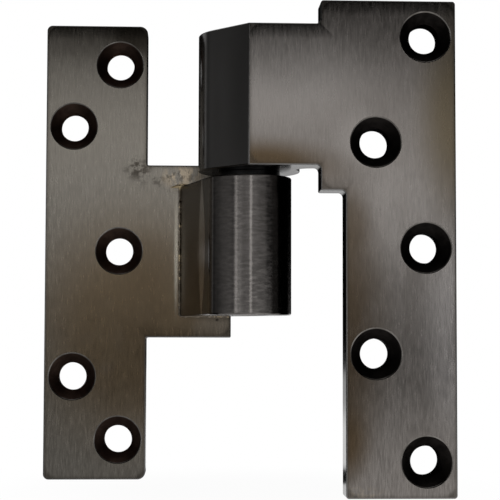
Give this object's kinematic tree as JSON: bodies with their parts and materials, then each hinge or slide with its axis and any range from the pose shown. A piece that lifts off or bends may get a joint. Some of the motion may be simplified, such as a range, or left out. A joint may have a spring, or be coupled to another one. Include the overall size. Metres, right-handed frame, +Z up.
{
  "type": "offset intermediate pivot hinge",
  "caption": "Offset door pivot hinge: flat leaves with countersunk screw holes, a jamb leaf with a brazed lower knuckle and a cast door leaf whose upper knuckle turns on a pin.",
  "frame": {"origin": "centre of the jamb leaf's back face, the face that seats on the door frame", "axes": "+Z up along the pin; +X from the jamb leaf to the door leaf with the hinge fully open; -Y is the side that shows the screw heads, so +Y points out of the jamb leaf's back"},
  "size_m": [0.1081, 0.0476, 0.1282],
  "materials": {
    "leaf_steel": "dark satin, brushed along the leaf",
    "knuckle_steel": "dark satin, turned",
    "braze": "pale braze metal, uneven",
    "pin_steel": "ground",
    "black_washer": "black oxide, satin",
    "bearing_steel": "ground, oiled",
    "black_plug": "matte"
  },
  "bodies": {
    "jamb_side": {"jamb_leaf": "leaf_steel", "jamb_knuckle": "knuckle_steel", "braze_joint": "braze", "pivot_pin": "pin_steel", "thrust_washer": "black_washer"},
    "door_side": {"door_leaf": "leaf_steel", "bearing_shell": "bearing_steel", "top_plug": "black_plug"},
    "cage": {"bearing_cage": "bearing_steel"},
    "needle_01_roller": {"needle_01": "bearing_steel"},
    "needle_02_roller": {"needle_02": "bearing_steel"},
    "needle_03_roller": {"needle_03": "bearing_steel"},
    "needle_04_roller": {"needle_04": "bearing_steel"},
    "needle_05_roller": {"needle_05": "bearing_steel"},
    "needle_06_roller": {"needle_06": "bearing_steel"},
    "needle_07_roller": {"needle_07": "bearing_steel"},
    "needle_08_roller": {"needle_08": "bearing_steel"},
    "needle_09_roller": {"needle_09": "bearing_steel"},
    "needle_10_roller": {"needle_10": "bearing_steel"},
    "needle_11_roller": {"needle_11": "bearing_steel"},
    "needle_12_roller": {"needle_12": "bearing_steel"}
  },
  "joints": [
    {"name": "door_hinge", "type": "hinge", "parent": "jamb_side", "child": "door_side", "pos_m": [0.04175, -0.02855, 0], "axis": [0, 0, -1], "range_deg": [0, 180]},
    {"name": "cage_turn", "type": "hinge", "parent": "jamb_side", "child": "cage", "pos_m": [0.04175, -0.02855, 0], "axis": [0, 0, -1], "range_deg": [0, 103]},
    {"name": "needle_01_roll", "type": "hinge", "parent": "cage", "child": "needle_01_roller", "pos_m": [0.04731, -0.02855, 0.03], "axis": [0, 0, -1], "range_deg": [0, 618]},
    {"name": "needle_02_roll", "type": "hinge", "parent": "cage", "child": "needle_02_roller", "pos_m": [0.04656, -0.02577, 0.03], "axis": [0, 0, -1], "range_deg": [0, 618]},
    {"name": "needle_03_roll", "type": "hinge", "parent": "cage", "child": "needle_03_roller", "pos_m": [0.04453, -0.02374, 0.03], "axis": [0, 0, -1], "range_deg": [0, 618]},
    {"name": "needle_04_roll", "type": "hinge", "parent": "cage", "child": "needle_04_roller", "pos_m": [0.04175, -0.02299, 0.03], "axis": [0, 0, -1], "range_deg": [0, 618]},
    {"name": "needle_05_roll", "type": "hinge", "parent": "cage", "child": "needle_05_roller", "pos_m": [0.03897, -0.02374, 0.03], "axis": [0, 0, -1], "range_deg": [0, 618]},
    {"name": "needle_06_roll", "type": "hinge", "parent": "cage", "child": "needle_06_roller", "pos_m": [0.03694, -0.02577, 0.03], "axis": [0, 0, -1], "range_deg": [0, 618]},
    {"name": "needle_07_roll", "type": "hinge", "parent": "cage", "child": "needle_07_roller", "pos_m": [0.03619, -0.02855, 0.03], "axis": [0, 0, -1], "range_deg": [0, 618]},
    {"name": "needle_08_roll", "type": "hinge", "parent": "cage", "child": "needle_08_roller", "pos_m": [0.03694, -0.03133, 0.03], "axis": [0, 0, -1], "range_deg": [0, 618]},
    {"name": "needle_09_roll", "type": "hinge", "parent": "cage", "child": "needle_09_roller", "pos_m": [0.03897, -0.03336, 0.03], "axis": [0, 0, -1], "range_deg": [0, 618]},
    {"name": "needle_10_roll", "type": "hinge", "parent": "cage", "child": "needle_10_roller", "pos_m": [0.04175, -0.03411, 0.03], "axis": [0, 0, -1], "range_deg": [0, 618]},
    {"name": "needle_11_roll", "type": "hinge", "parent": "cage", "child": "needle_11_roller", "pos_m": [0.04453, -0.03336, 0.03], "axis": [0, 0, -1], "range_deg": [0, 618]},
    {"name": "needle_12_roll", "type": "hinge", "parent": "cage", "child": "needle_12_roller", "pos_m": [0.04656, -0.03133, 0.03], "axis": [0, 0, -1], "range_deg": [0, 618]}
  ],
  "couplings": [
    {"joint": "cage_turn", "follows": "door_hinge", "ratio": 0.57143},
    {"joint": "needle_01_roll", "follows": "door_hinge", "ratio": 3.4286},
    {"joint": "needle_02_roll", "follows": "door_hinge", "ratio": 3.4286},
    {"joint": "needle_03_roll", "follows": "door_hinge", "ratio": 3.4286},
    {"joint": "needle_04_roll", "follows": "door_hinge", "ratio": 3.4286},
    {"joint": "needle_05_roll", "follows": "door_hinge", "ratio": 3.4286},
    {"joint": "needle_06_roll", "follows": "door_hinge", "ratio": 3.4286},
    {"joint": "needle_07_roll", "follows": "door_hinge", "ratio": 3.4286},
    {"joint": "needle_08_roll", "follows": "door_hinge", "ratio": 3.4286},
    {"joint": "needle_09_roll", "follows": "door_hinge", "ratio": 3.4286},
    {"joint": "needle_10_roll", "follows": "door_hinge", "ratio": 3.4286},
    {"joint": "needle_11_roll", "follows": "door_hinge", "ratio": 3.4286},
    {"joint": "needle_12_roll", "follows": "door_hinge", "ratio": 3.4286}
  ]
}
